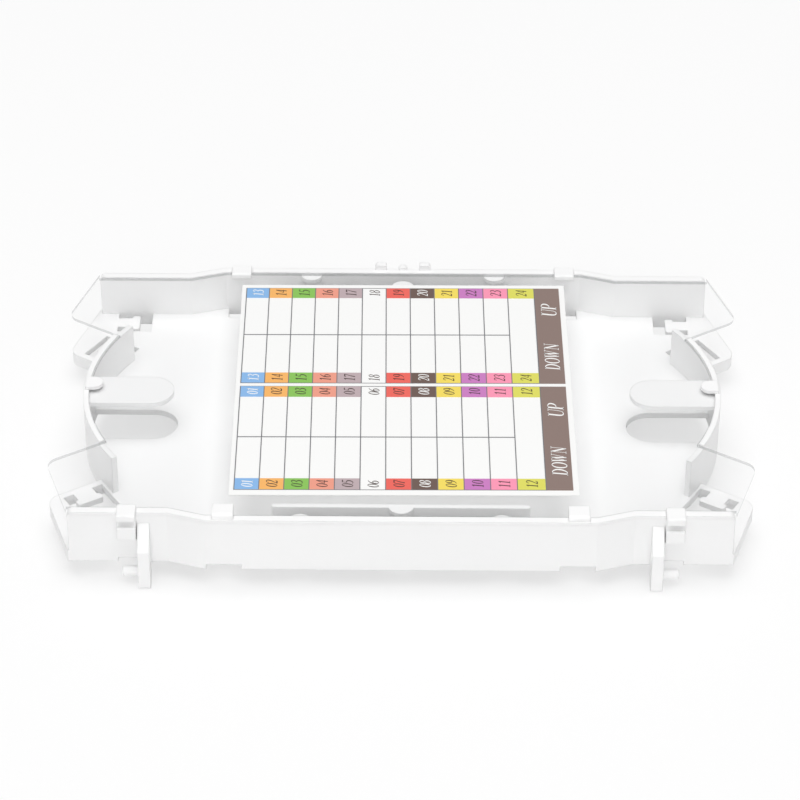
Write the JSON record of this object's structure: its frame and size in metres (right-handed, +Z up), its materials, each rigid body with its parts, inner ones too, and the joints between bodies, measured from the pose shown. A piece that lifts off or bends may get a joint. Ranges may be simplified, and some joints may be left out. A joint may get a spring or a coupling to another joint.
{
  "type": "fibre splice tray",
  "caption": "Stackable white tray for optical fibre splices, with a clear snap-in cover, a numbered colour label, cable tie anchors at the corners and hinge pins and sockets at the front.",
  "frame": {"origin": "middle of the tray's outline, level with the lowest point of the hinge arms", "axes": "+X along the tray to the right, +Y to the back wall with the catch, +Z up out of the open side"},
  "size_m": [0.1804, 0.1176, 0.0223],
  "materials": {
    "tray_plastic": "white moulded plastic, satin",
    "holder_plastic": "white moulded plastic, satin",
    "cover_clear": "thin clear plastic sheet, glossy",
    "label_paper": "white label film, matt",
    "ink_blue": "printed ink, matt",
    "ink_orange": "printed ink, matt",
    "ink_green": "printed ink, matt",
    "ink_salmon": "printed ink, matt",
    "ink_mauve": "printed ink, matt",
    "ink_red": "printed ink, matt",
    "ink_brown": "printed ink, matt",
    "ink_yellow": "printed ink, matt",
    "ink_violet": "printed ink, matt",
    "ink_pink": "printed ink, matt",
    "ink_lime": "printed ink, matt",
    "ink_caption": "printed ink, matt",
    "ink_lines": "printed ink, matt"
  },
  "bodies": {
    "root": {"tray_base": "tray_plastic", "cover": "cover_clear", "label": "label_paper", "print_blue": "ink_blue", "print_orange": "ink_orange", "print_green": "ink_green", "print_salmon": "ink_salmon", "print_mauve": "ink_mauve", "print_red": "ink_red", "print_brown": "ink_brown", "print_yellow": "ink_yellow", "print_violet": "ink_violet", "print_pink": "ink_pink", "print_lime": "ink_lime", "print_captions": "ink_caption", "print_lines": "ink_lines", "splice_holder_front": "holder_plastic", "splice_holder_back": "holder_plastic"}
  },
  "joints": []
}
